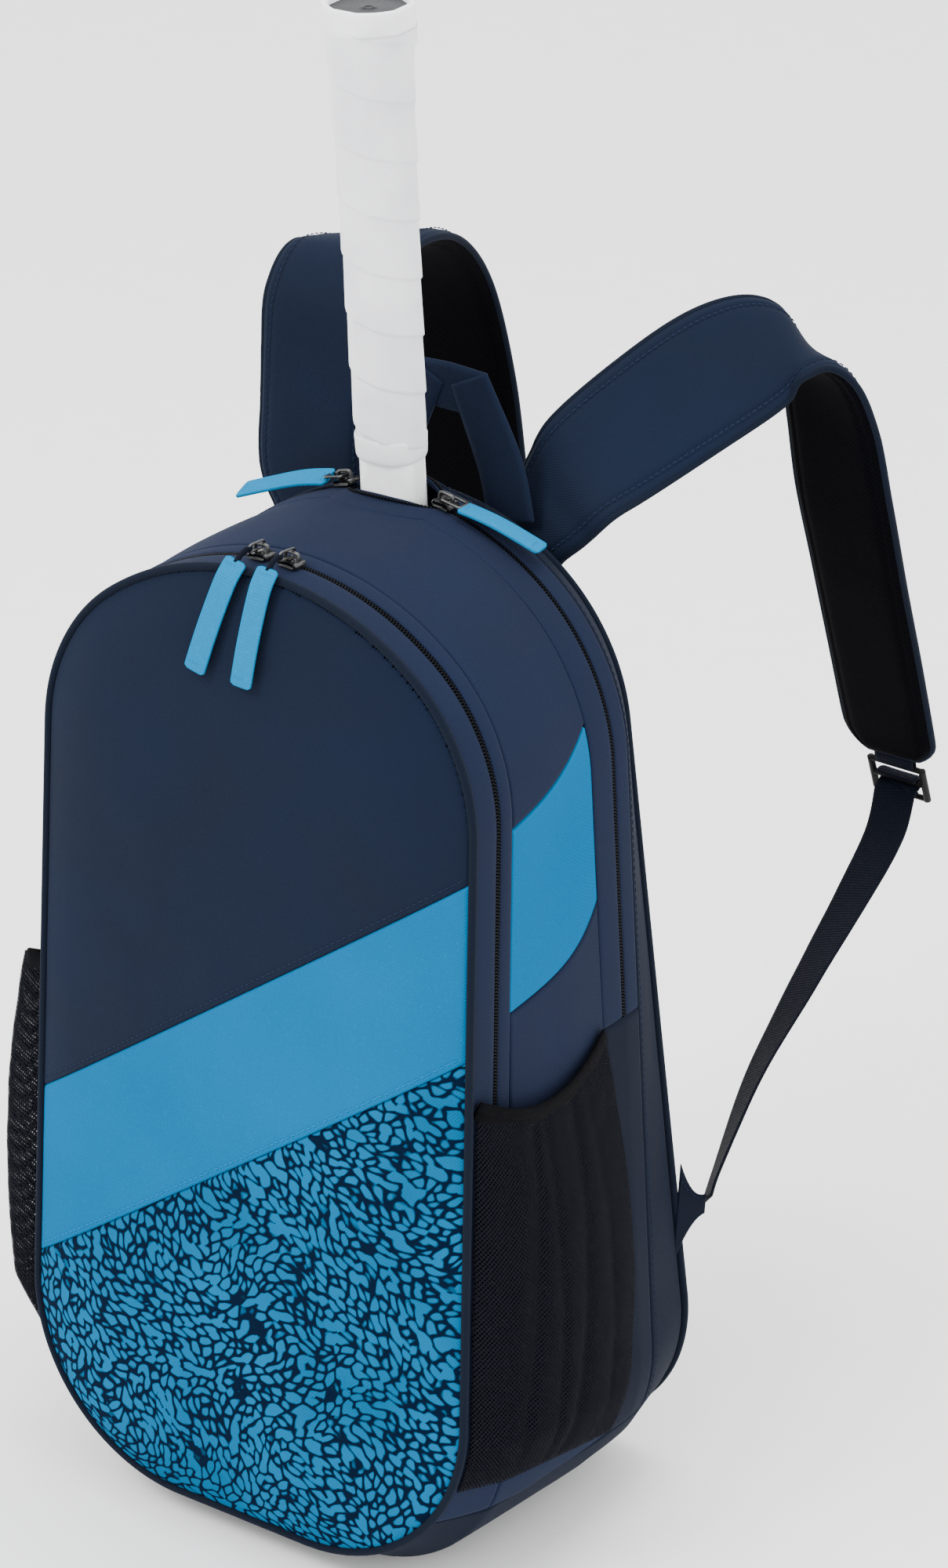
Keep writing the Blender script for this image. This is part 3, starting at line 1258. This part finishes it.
for name, s in (("right", 1), ("left", -1)):
    rows = []
    for k in np.linspace(0, 1, 22):
        mid = np.array([s * 123.0, 79.5, 134.0]) * (1 - k) + np.array([s * 129.8, 92.5, 136.0]) * k
        half = 20.0 * (1 - k) ** 2.0 + 4.6
        rows.append([mid + np.array([0, 0.12 * q * half, q * half]) for q in np.linspace(-1, 1, 18)])
    p = np.array(rows)
    tab = cloth("anchor_tab_cloth_" + name, p, M["navy_rear"], facing(p, (s, -0.4, 0)), 1.6, (0, 0.6, 0.7, 0.7))
    hem = []
    for q in (-0.78, 0.78):
        line = [[r[9][0] + s * 0.15, r[9][1] - 0.05, r[9][2] + q * (r[-1][2] - r[0][2]) / 2] for r in p[2:-1]]
        hem.append(stitches("st", line, (s, -0.4, 0), M["thread"], pitch=2.6, length=1.9, r=0.22))
    finish_piece(join("anchor_tab_cloth_" + name, [tab] + hem), "bag", ["anchor_tab_" + name])

# haul loop: flat webbing folded over at both top corners
def strip(name, pts, half, mat, out, thick=1.5, nu=9):
    pts = np.asarray(pts, float)
    path, s = resample(catmull(pts, 12), 1.5)
    run = unit(np.gradient(path, axis=0))
    o = np.broadcast_to(np.asarray(out, float), path.shape)
    side = unit(np.cross(run, o))
    h = np.interp(np.linspace(0, 1, len(path)), np.linspace(0, 1, len(half)), half)
    x = np.linspace(-1, 1, nu)[None, :] * h[:, None]
    p = path[:, None] + x[..., None] * side[:, None]
    p = p + (0.3 * noise(p, 22, 8))[..., None] * o[:, None]
    uv = np.stack([x, np.broadcast_to(s[:, None], x.shape)], axis=-1)
    return cloth(name, p, mat, np.broadcast_to(o[:, None], p.shape), thick, (0.3, 0.3, 0.6, 0.6), uv=uv)


haul = [strip("h", pts, half, M["navy"], (0, -1, 0), 1.3) for pts, half in (
    ([(-35, 71.0, 452), (-28, 71.6, 478), (-11.5, 71.8, 513)], [12.5, 12.5, 10.5]),
    ([(35, 71.0, 452), (28, 71.6, 478), (11.5, 71.8, 513)], [12.5, 12.5, 10.5]),
    ([(-20.5, 72.7, 506.5), (0, 73.0, 507), (20.5, 72.7, 506.5)], [10.5, 11.0, 10.5]),
)]
haul = join("haul_loop_webbing", haul)
finish_piece(haul, None, ["haul_loop"])
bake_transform(haul)


# ---- mesh pockets ------------------------------------------------------------------
def rim_height(y):
    """top edge of a side pocket, dipping in the middle"""
    k = np.clip((y + 88) / 112.0, 0, 1.2)
    return 257 - 70 * k + 66 * k ** 2


POCKET_BACK = 22.0


def pocket_point(u, v):
    """u runs front to back, v from the seam up to the rim"""
    z_low = 66.0 + (50.0 - 66.0) * u
    z_top = rim_height(-82 + (POCKET_BACK + 82) * u)
    z = z_low + (z_top - z_low) * v
    y_front = SECTIONS[0]["y"] + TILT * (Z_REF - z) + 2.4
    y_back = POCKET_BACK + 15.0 * np.sin(np.pi * np.clip(v, 0, 1) ** 0.85)
    return y_front + (y_back - y_front) * u, z


def skin_x(y, z):
    """bag's half width at (y, z), by section interpolation"""
    ys = np.stack([np.full_like(z, s["y"]) + s["k"] * (Z_REF - z) for s in SECTIONS])
    xs = np.stack([np.interp(-z, -tab[:, 1], tab[:, 0]) for tab, _ in TABLES])
    out = np.zeros_like(z)
    for i in range(len(SECTIONS) - 1):
        m = (y >= ys[i]) & (y <= ys[i + 1])
        f = (y - ys[i]) / (ys[i + 1] - ys[i])
        out = np.where(m, xs[i] * (1 - f) + xs[i + 1] * f, out)
    return np.where(y < ys[0], xs[0], out)


# folds in a pocket's mesh: place along it, width, depth in mm, lean
FOLDS = ((0.30, 0.035, 2.6, 0.10), (0.45, 0.03, 2.2, -0.05), (0.62, 0.04, 2.6, 0.06), (0.80, 0.03, 1.6, -0.08))


def pocket(side_name, s, bulge, lead):
    nu, nv = 110, 90
    u, v = np.meshgrid(np.linspace(0, 1, nu), np.linspace(0, 1, nv))
    y, z = pocket_point(u, v)
    hang = np.sin(np.pi * np.clip(u ** lead, 0, 1)) ** 0.75
    prof = 0.42 + 0.58 * np.sin(np.pi * np.clip(0.12 + 0.78 * (1 - v), 0, 1)) ** 1.1
    low = np.clip(v / 0.12, 0, 1) ** 0.6
    out = 1.6 + bulge * hang * prof * low
    folds = 0.0
    for c, wdt, amp, lean in FOLDS:
        crease = amp * np.exp(-(((u - c - lean * (v - 0.5)) / wdt) ** 2))
        folds = folds + crease * (0.35 + 0.65 * (1 - v) ** 0.6) * low
    out = out - folds * 0.75 * hang
    out = np.maximum(out, 0.9)
    x = s * (skin_x(y, z) + out)
    p = np.stack([x, y, z], axis=-1)
    p[..., 0] += s * 0.5 * noise(p, 14, 3) * low
    net = cloth("mesh_pocket_net_" + side_name, p, M["net"], facing(p, (s, 0, 0)), 0.5, (0, 0, 0, 0))
    finish_piece(net, "bag", ["mesh_pocket_" + side_name])
    # elastic binding, folded over the rim
    k = np.linspace(0, 1, 130)
    y1, z1 = pocket_point(k, np.ones_like(k))
    hang = np.sin(np.pi * np.clip(k ** lead, 0, 1)) ** 0.75
    x1 = skin_x(y1, z1) + 1.9 + bulge * hang * 0.50
    line = np.stack([s * x1, y1, z1 - 3.0], axis=1)
    band = tube("pocket_binding_tape_" + side_name, line, 4.4, M["binding"], sides=16, flat=(0.30, 1.0), step=1.6)
    finish_piece(band, "bag", ["pocket_binding_" + side_name])
    cells = np.cross(np.diff(p, axis=0)[:, :-1], np.diff(p, axis=1)[:-1])
    return net, float(np.linalg.norm(cells, axis=-1).sum()) * MM * MM


for side_name, s, bulge, lead in (("right", 1, 9.5, 0.8), ("left", -1, 27.0, 0.34)):
    net, area = pocket(side_name, s, bulge, lead)

# ---- racket ------------------------------------------------------------------------
FOOT = np.array([3.0, 62.0, 6.0])
R_UP = np.array([-0.0118, -0.0539, 0.9985])
R_UP = unit(R_UP)
R_X = np.array([1, 0, 0.0118])
R_X -= R_UP * R_X.dot(R_UP)
R_X = unit(R_X)
R_N = np.cross(R_X, R_UP)


def racket_at(u, v, w):
    return FOOT + u * R_X + v * R_UP + w * R_N


def octagon(a, half_w, half_d, round_=0.35):
    """softened octagon with the given half sizes, as a point at angle a"""
    c, s = np.cos(a), np.sin(a)
    r = (np.abs(c) ** 3.6 + np.abs(s) ** 3.6) ** (-1 / 3.6)
    r2 = 1.0 / np.maximum.reduce([np.abs(c), np.abs(s), (np.abs(c) + np.abs(s)) / 1.36])
    r = round_ * r + (1 - round_) * r2
    return half_w * r * c, half_d * r * s


def lathe(name, stations, mat, turns=96, ridge=None, cap_top=True, cap_low=True, round_=0.35):
    """stations are (v, half width, half depth)"""
    a = np.linspace(0, 2 * math.pi, turns, endpoint=False)
    rows, uvs = [], []
    for v, hw, hd in stations:
        x, y = octagon(a, hw, hd, round_)
        k = np.ones(turns) if ridge is None else 1.0 + ridge(v, a) / hw
        rows.append([racket_at(x[i] * k[i], v, -y[i] * k[i]) for i in range(turns)])
        uvs.append([(a[i] * hw, v) for i in range(turns)])
    p = np.array(rows)
    faces = grid_faces(len(stations), turns, close_c=True, flip=True)
    if cap_low:
        faces.append(tuple(range(turns)))
    if cap_top:
        base = (len(stations) - 1) * turns
        faces.append(tuple(reversed(range(base, base + turns))))
    return make(name, p.reshape(-1, 3), faces, mat, np.array(uvs).reshape(-1, 2))


def wrap_ridge(v, a):
    """overlapping edge of the spiral overgrip"""
    turn = ((v - 486) / 26.0 + a / (2 * math.pi)) % 1.0
    return 1.0 * np.clip(turn / 0.035, 0, 1) * (1 - 0.85 * turn) - 0.3


vs = np.linspace(484.0, 674, 240)
hw = np.interp(vs, [484, 489, 500, 655, 668, 674], [14.2, 14.9, 15.4, 17.4, 18.9, 19.3])
hd = np.interp(vs, [484, 489, 500, 655, 668, 674], [12.6, 13.3, 13.8, 15.8, 17.3, 17.7])
overgrip = lathe("racket_overgrip", list(zip(vs, hw, hd)), M["grip"], ridge=wrap_ridge)
finish_piece(overgrip, "racket", ["racket_grip"])
vs = [480.5, 481.2, 482.5, 485, 489, 491.0, 491.8, 492.2]
hw = [13.6, 14.4, 14.9, 15.1, 15.2, 15.3, 15.1, 14.6]
finish_piece(lathe("racket_collar_band", [(v, w, w * 0.89) for v, w in zip(vs, hw)], M["rubber"], round_=0.6),
             "racket", ["racket_collar"])
vs = [672.5, 673.5, 676, 682, 683.6, 684.4, 684.5, 684.2, 683.0, 681.2]
hw = [18.9, 19.3, 19.6, 19.7, 19.5, 18.9, 18.0, 17.2, 16.6, 16.4]
outer_cap = lathe("cap", [(v, w, w * 0.915) for v, w in zip(vs, hw)], M["cap"], cap_top=False)
vs = [683.2, 681.0, 680.9, 680.9, 681.4]
hw = [16.9, 16.5, 12.0, 5.0, 2.0]
inner_cap = lathe("cap_in", [(v, w, w * 0.915) for v, w in zip(vs, hw)], M["cap_dark"], cap_low=False)
finish_piece(join("racket_butt_end", [outer_cap, inner_cap]), "racket", ["racket_butt_cap"])

# hoop, open throat and shaft, one moulding
HOOP_MID = 162  # along the racket, from its head's end
k = np.linspace(0, 2 * math.pi, 240, endpoint=False)
hoop = [racket_at(107.5 * math.sin(a), HOOP_MID - 156.5 * math.cos(a), 0) for a in k]
frame_parts = [tube("hoop", hoop, 5.5, M["paint"], closed=True, sides=20, up=R_N, flat=(1.0, 1.9))]
for sg in (-1, 1):
    arm = ((86, 250), (66, 284), (44, 322), (24, 360), (10, 392), (6.4, 420))
    arm = catmull([racket_at(sg * x, v, 0) for x, v in arm], 10)
    frame_parts.append(tube("arm", arm, 6.2, M["paint"], sides=20, up=R_N, flat=(1.0, 1.66)))
vs = np.linspace(398, 483, 60)
hw = np.interp(vs, [398, 425, 483], [15.0, 14.3, 14.1])
frame_parts.append(lathe("shaft", [(v, w, 11.0) for v, w in zip(vs, hw)], M["paint"], round_=0.7))
finish_piece(join("racket_moulding", frame_parts), "racket", ["racket_frame"])


def string(ends, middle, side):
    """one string, bowed a little to the side where it crosses the others"""
    pts = [racket_at(u, v, side * w) for (u, v), w in zip((ends[0], middle, ends[1]), (0.3, 0.5, 0.3))]
    return tube("s", pts, 0.65, M["string"], sides=6)


net_lines = []
for i in range(-8, 9):
    x = i * 11.4
    h = 151 * math.sqrt(max(0.0, 1 - (x / 102.5) ** 2))
    net_lines.append(string([(x, HOOP_MID - h), (x, HOOP_MID + h)], (x, HOOP_MID), 1))
for i in range(-9, 10):
    v = i * 14.5
    w = 102 * math.sqrt(max(0.0, 1 - (v / 151.0) ** 2))
    net_lines.append(string([(-w, HOOP_MID + v), (w, HOOP_MID + v)], (0, HOOP_MID + v), -1))
finish_piece(join("racket_string_bed", net_lines), "racket", ["racket_strings"])


# ---- sliders and pulls -------------------------------------------------------------
def crown_frame(front, angle):
    a = math.radians(angle)
    if front:
        k = math.hypot(1, TILT)
        up = np.array([0, -TILT / k, 1 / k])
        axis = np.array([0, 1 / k, TILT / k])
        mid = np.array([0, -46.5, Z_REF]) + up * (463 - Z_REF - 135)
        radius = 135.8
    else:
        up = np.array([0, 0, 1.0])
        axis = np.array([0, 1.0, 0])
        mid = np.array([0, 40.0, 348.0])
        radius = 120.8
    x = np.array([1.0, 0, 0])
    out = x * math.sin(a) + up * math.cos(a)
    along = x * math.cos(a) - up * math.sin(a)
    return mid + out * radius, along, axis, out


def sweep_profile(name, centre, along, axis, out, outline, half, mat, bevel=0.35):
    """solid with the given outline in the along/out plane, thick across the axis"""
    pts = np.asarray(outline, float)
    n = len(pts)
    layers = [(-half, -bevel), (-half + bevel, 0), (half - bevel, 0), (half, -bevel)]
    c2 = pts.mean(axis=0)
    verts = []
    for y, shrink in layers:
        for q in pts:
            d = q - c2
            r = np.linalg.norm(d)
            q2 = c2 + d * (1 + shrink / max(r, 0.5))
            verts.append(centre + along * q2[0] + out * q2[1] + axis * y)
    faces = grid_faces(4, n, close_c=True)
    faces.append(tuple(reversed(range(n))))
    faces.append(tuple(range(3 * n, 4 * n)))
    return make(name, verts, faces, mat, np.array(verts)[:, :2])


def arcpts(cx, cy, r, a0, a1, n=10):
    a = np.radians(np.linspace(a0, a1, n))
    return [(cx + r * math.cos(t), cy + r * math.sin(t)) for t in a]


BEAM_Z = 6.3
for label, front, angle in (
    ("main_left", False, -14.5), ("main_right", False, 10.8),
    ("front_left", True, -3.9), ("front_right", True, 2.7),
):
    c, al, ax, out = crown_frame(front, angle)
    a, b = label.split("_")
    body_line = arcpts(-3.6, 1.7, 1.4, 90, 270) + arcpts(3.6, 1.7, 1.4, -90, 90)
    parts = [sweep_profile("s", c, al, ax, out, body_line, 4.1, M["metal"], 0.7)]
    nose = arcpts(-1.5, 3.1, 0.5, 90, 180, 5) + [(-2.0, 2.6), (2.0, 2.6)] + arcpts(1.5, 3.1, 0.5, 0, 90, 5)
    parts.append(sweep_profile("n", c, al, ax, out, nose, 2.6, M["metal"], 0.3))
    bail = [(-3.4, 2.9), (-3.4, 5.2), (-2.6, BEAM_Z - 0.1), (0, BEAM_Z + 0.1)]
    bail += [(-x, y) for x, y in bail[2::-1]]
    path = catmull([c + al * q[0] + out * q[1] for q in bail], 6)
    parts.append(tube("b", path, 0.78, M["metal"], sides=10, up=ax, flat=(1.0, 1.25)))
    finish_piece(join(a + "_slider_cast_" + b, parts), "slider_" + label, [a + "_slider_" + b])


def tape_tab(name, path, width, thick, body, nodes, side_dir):
    """a folded pull of ribbed tape with rounded corners"""
    path, s = resample(np.asarray(path, float), 1.0)
    run = unit(np.gradient(path, axis=0))
    sd = unit(np.asarray(side_dir, float))
    nn = unit(np.cross(run, sd))
    total = s[-1]
    half = np.full(len(s), width / 2)
    for e in (s, total - s):
        half = half - 1.6 * (1 - np.sqrt(np.clip(1 - (np.clip(1.8 - e, 0, 1.8) / 1.8) ** 2, 0, 1)))
    k = np.linspace(0, 2 * math.pi, 44, endpoint=False)
    cx = np.sign(np.cos(k)) * np.abs(np.cos(k)) ** 0.35
    cy = np.sign(np.sin(k)) * np.abs(np.sin(k)) ** 0.6
    dent = 0.22 * np.exp(-(((np.abs(cx) - 0.78) / 0.07) ** 2))
    endt = np.ones(len(s))
    for e in (s, total - s):
        endt = endt * np.sqrt(np.clip(1 - (np.clip(1.0 - e, 0, 1.0)) ** 2 * 0.8, 0.05, 1))
    p = (
        path[:, None]
        + (cx[None, :] * half[:, None])[..., None] * sd
        + ((cy * (thick / 2 - dent))[None, :] * endt[:, None])[..., None] * nn[:, None]
    )
    nr, nc = p.shape[:2]
    faces = grid_faces(nr, nc, close_c=True)
    faces.append(tuple(range(nc))[::-1])
    faces.append(tuple(range((nr - 1) * nc, nr * nc)))
    uv = np.stack([np.broadcast_to(cx * width / 2, (nr, nc)), np.broadcast_to(s[:, None], (nr, nc))], axis=-1)
    obj = make(name, p.reshape(-1, 3), faces, M["pull"], uv.reshape(-1, 2))
    sew = []
    for e in (3.2, total - 4.0):
        i = int(np.argmin(np.abs(s - e)))
        for sg in (1, -1):
            x = np.linspace(-width / 2 + 1.6, width / 2 - 1.6, 12)
            q = path[i] + x[:, None] * sd + nn[i] * sg * (thick / 2)
            sew.append(stitches("st", q, nn[i] * sg, M["thread_blue"], pitch=1.9, length=1.3, r=0.2))
    finish_piece(join(name, [obj] + sew), body, nodes)


PULL_BOW = 240.0  # radius that the main zip's pulls are bent to

for label, angle, sign, first, length, turn in (
    ("main_left", -14.5, -1, -13.5, 51.0, 0.0), ("main_right", 10.8, 1, 12.5, 39.0, 8.0),
):
    c, al, ax, out = crown_frame(False, angle)
    bar = 4.5
    loop = []
    for x, y in [(0, 0), (0, 3.3), (4.5, 3.3), (9.2, 3.3), (9.2, 0), (9.2, -3.3), (4.5, -3.3), (0, -3.3)]:
        loop.append(c + out * bar + al * sign * x + ax * y)
    ring = tube("pull_ring_" + label, loop, 0.62, M["metal"], closed=True, sides=10, up=out, step=0.8)
    finish_piece(ring, "pull_" + label, ["pull_link_" + label])
    radius = 120.8 + 3.7
    begin = math.radians(angle) + sign * 10.6 / radius
    x0, z0 = radius * math.sin(begin), 348.4 + radius * math.cos(begin)
    f0 = math.radians(first)
    cy, sy = math.cos(math.radians(turn)), math.sin(math.radians(turn)) * sign
    path = []
    for k in np.linspace(-2.0, length, 44):
        a = f0 + sign * k / PULL_BOW
        run_x = PULL_BOW * (math.sin(a) - math.sin(f0))
        lift = 0.3 * math.sin(k * 0.13)
        path.append([x0 + run_x * cy, 40 + run_x * sy, z0 + PULL_BOW * (math.cos(a) - math.cos(f0)) + lift])
    tape_tab("pull_tape_" + label, path, 10.6, 2.2, "pull_" + label, ["pull_tab_" + label],
             (-sy, cy, 0.45 if sign < 0 else 0.0))

for label, angle, lean in (("front_left", -3.9, 17.0), ("front_right", 2.7, 1.0)):
    c, al, ax, out = crown_frame(True, angle)
    centre = c + out * BEAM_Z
    t = math.radians(lean)
    fwd = -ax
    side = al * math.cos(t) - out * math.sin(t)
    up = unit(np.cross(fwd, side))

    def pt(f, h, x=0.0, up=up, centre=centre, fwd=fwd, side=side):
        return centre + fwd * f + up * h + side * x

    k = np.linspace(0, 2 * math.pi, 40, endpoint=False)
    f = np.where(np.cos(k) > 0, 7.2, 0.0) + 1.9 * np.cos(k)
    ring = [pt(a, 1.9 * math.sin(b)) for a, b in zip(f, k)]
    ring = tube("pull_ring_" + label, ring, 0.5, M["metal"], closed=True, sides=10, up=side, step=0.8)
    knot = [pt(7.6, 0), pt(10.4, 0.5), pt(13.4, -0.9), pt(16.4, -4.2)]
    knot = tube("cord", knot, 1.25, M["web"], sides=10, up=side, step=0.8)
    ring = join("pull_ring_" + label, [ring, knot])
    finish_piece(ring, "pull_" + label, ["pull_link_" + label])
    path = ((15.4, -3.0), (18.2, -6.6), (21.0, -12.0), (24.3, -24), (27.2, -38), (29.4, -53))
    path = catmull([pt(*q) for q in path], 10)
    tape_tab("pull_tape_" + label, path, 10.8, 2.0, "pull_" + label, ["pull_tab_" + label], side)


# ---- topstitching on the rear gusset -----------------------------------------------
rows = []
for d, grow in ((7.12, 0.25), (7.75, 0.2)):
    te = t_at_d(d, BOOT)
    q = surf(d, np.linspace(-te, te, 1200), grow)
    q[:, 1] += 5.0 * mouth(q[:, 0]) * (q[:, 2] > 430)
    rows.append(stitches("st", q, outward(q), M["thread"], pitch=3.6, length=2.6, r=0.26))
finish_piece(join("gusset_seam_stitches", rows), "bag", ())

# ---- studio ------------------------------------------------------------------------
floor_mat = Tree("floor_paper")
grain = floor_mat.noise(30.0, 3.0)
grain = floor_mat.ramp(grain, 0.3, 0.7, 0.0, 1.0)
floor_mat.set(Base_Color=floor_mat.mix(grain, (0.93, 0.93, 0.93, 1), (0.95, 0.95, 0.95, 1)), Roughness=0.9)
bpy.ops.mesh.primitive_plane_add(size=12.0, location=(0, 0, -0.0005))
floor = bpy.context.object
floor.name = "floor"
floor.data.materials.append(floor_mat.mat)

world = bpy.data.worlds.new("studio")
world.use_nodes = True
bg = world.node_tree.nodes["Background"]
bg.inputs[0].default_value = (1.0, 1.0, 1.0, 1)
bg.inputs[1].default_value = 2.3
bpy.context.scene.world = world


def area_light(name, loc, target, size, power):
    data = bpy.data.lights.new(name, "AREA")
    data.shape = "DISK"
    data.size = size
    data.energy = power
    obj = bpy.data.objects.new(name, data)
    obj.location = loc
    obj.rotation_euler = (Vector(target) - Vector(loc)).to_track_quat("-Z", "Y").to_euler()
    bpy.context.scene.collection.objects.link(obj)


area_light("key", (-0.6, -1.7, 2.3), (0, 0, 0.25), 1.1, 48)
area_light("top", (0.3, 0.3, 2.6), (0, 0, 0.3), 1.2, 36)
area_light("side", (2.4, -0.3, 1.0), (0, 0, 0.25), 1.0, 5)

cam_data = bpy.data.cameras.new("camera")
cam_data.lens = 118.8
cam_data.sensor_width = 36.0
cam_data.clip_start = 0.05
cam = bpy.data.objects.new("camera", cam_data)
cam.location = (1.2510, -1.6294, 1.2803)
aim = Vector((0.0208, 0.0638, 0.3265))
cam.rotation_euler = (aim - Vector(cam.location)).to_track_quat("-Z", "Y").to_euler()
bpy.context.scene.collection.objects.link(cam)
bpy.context.scene.camera = cam
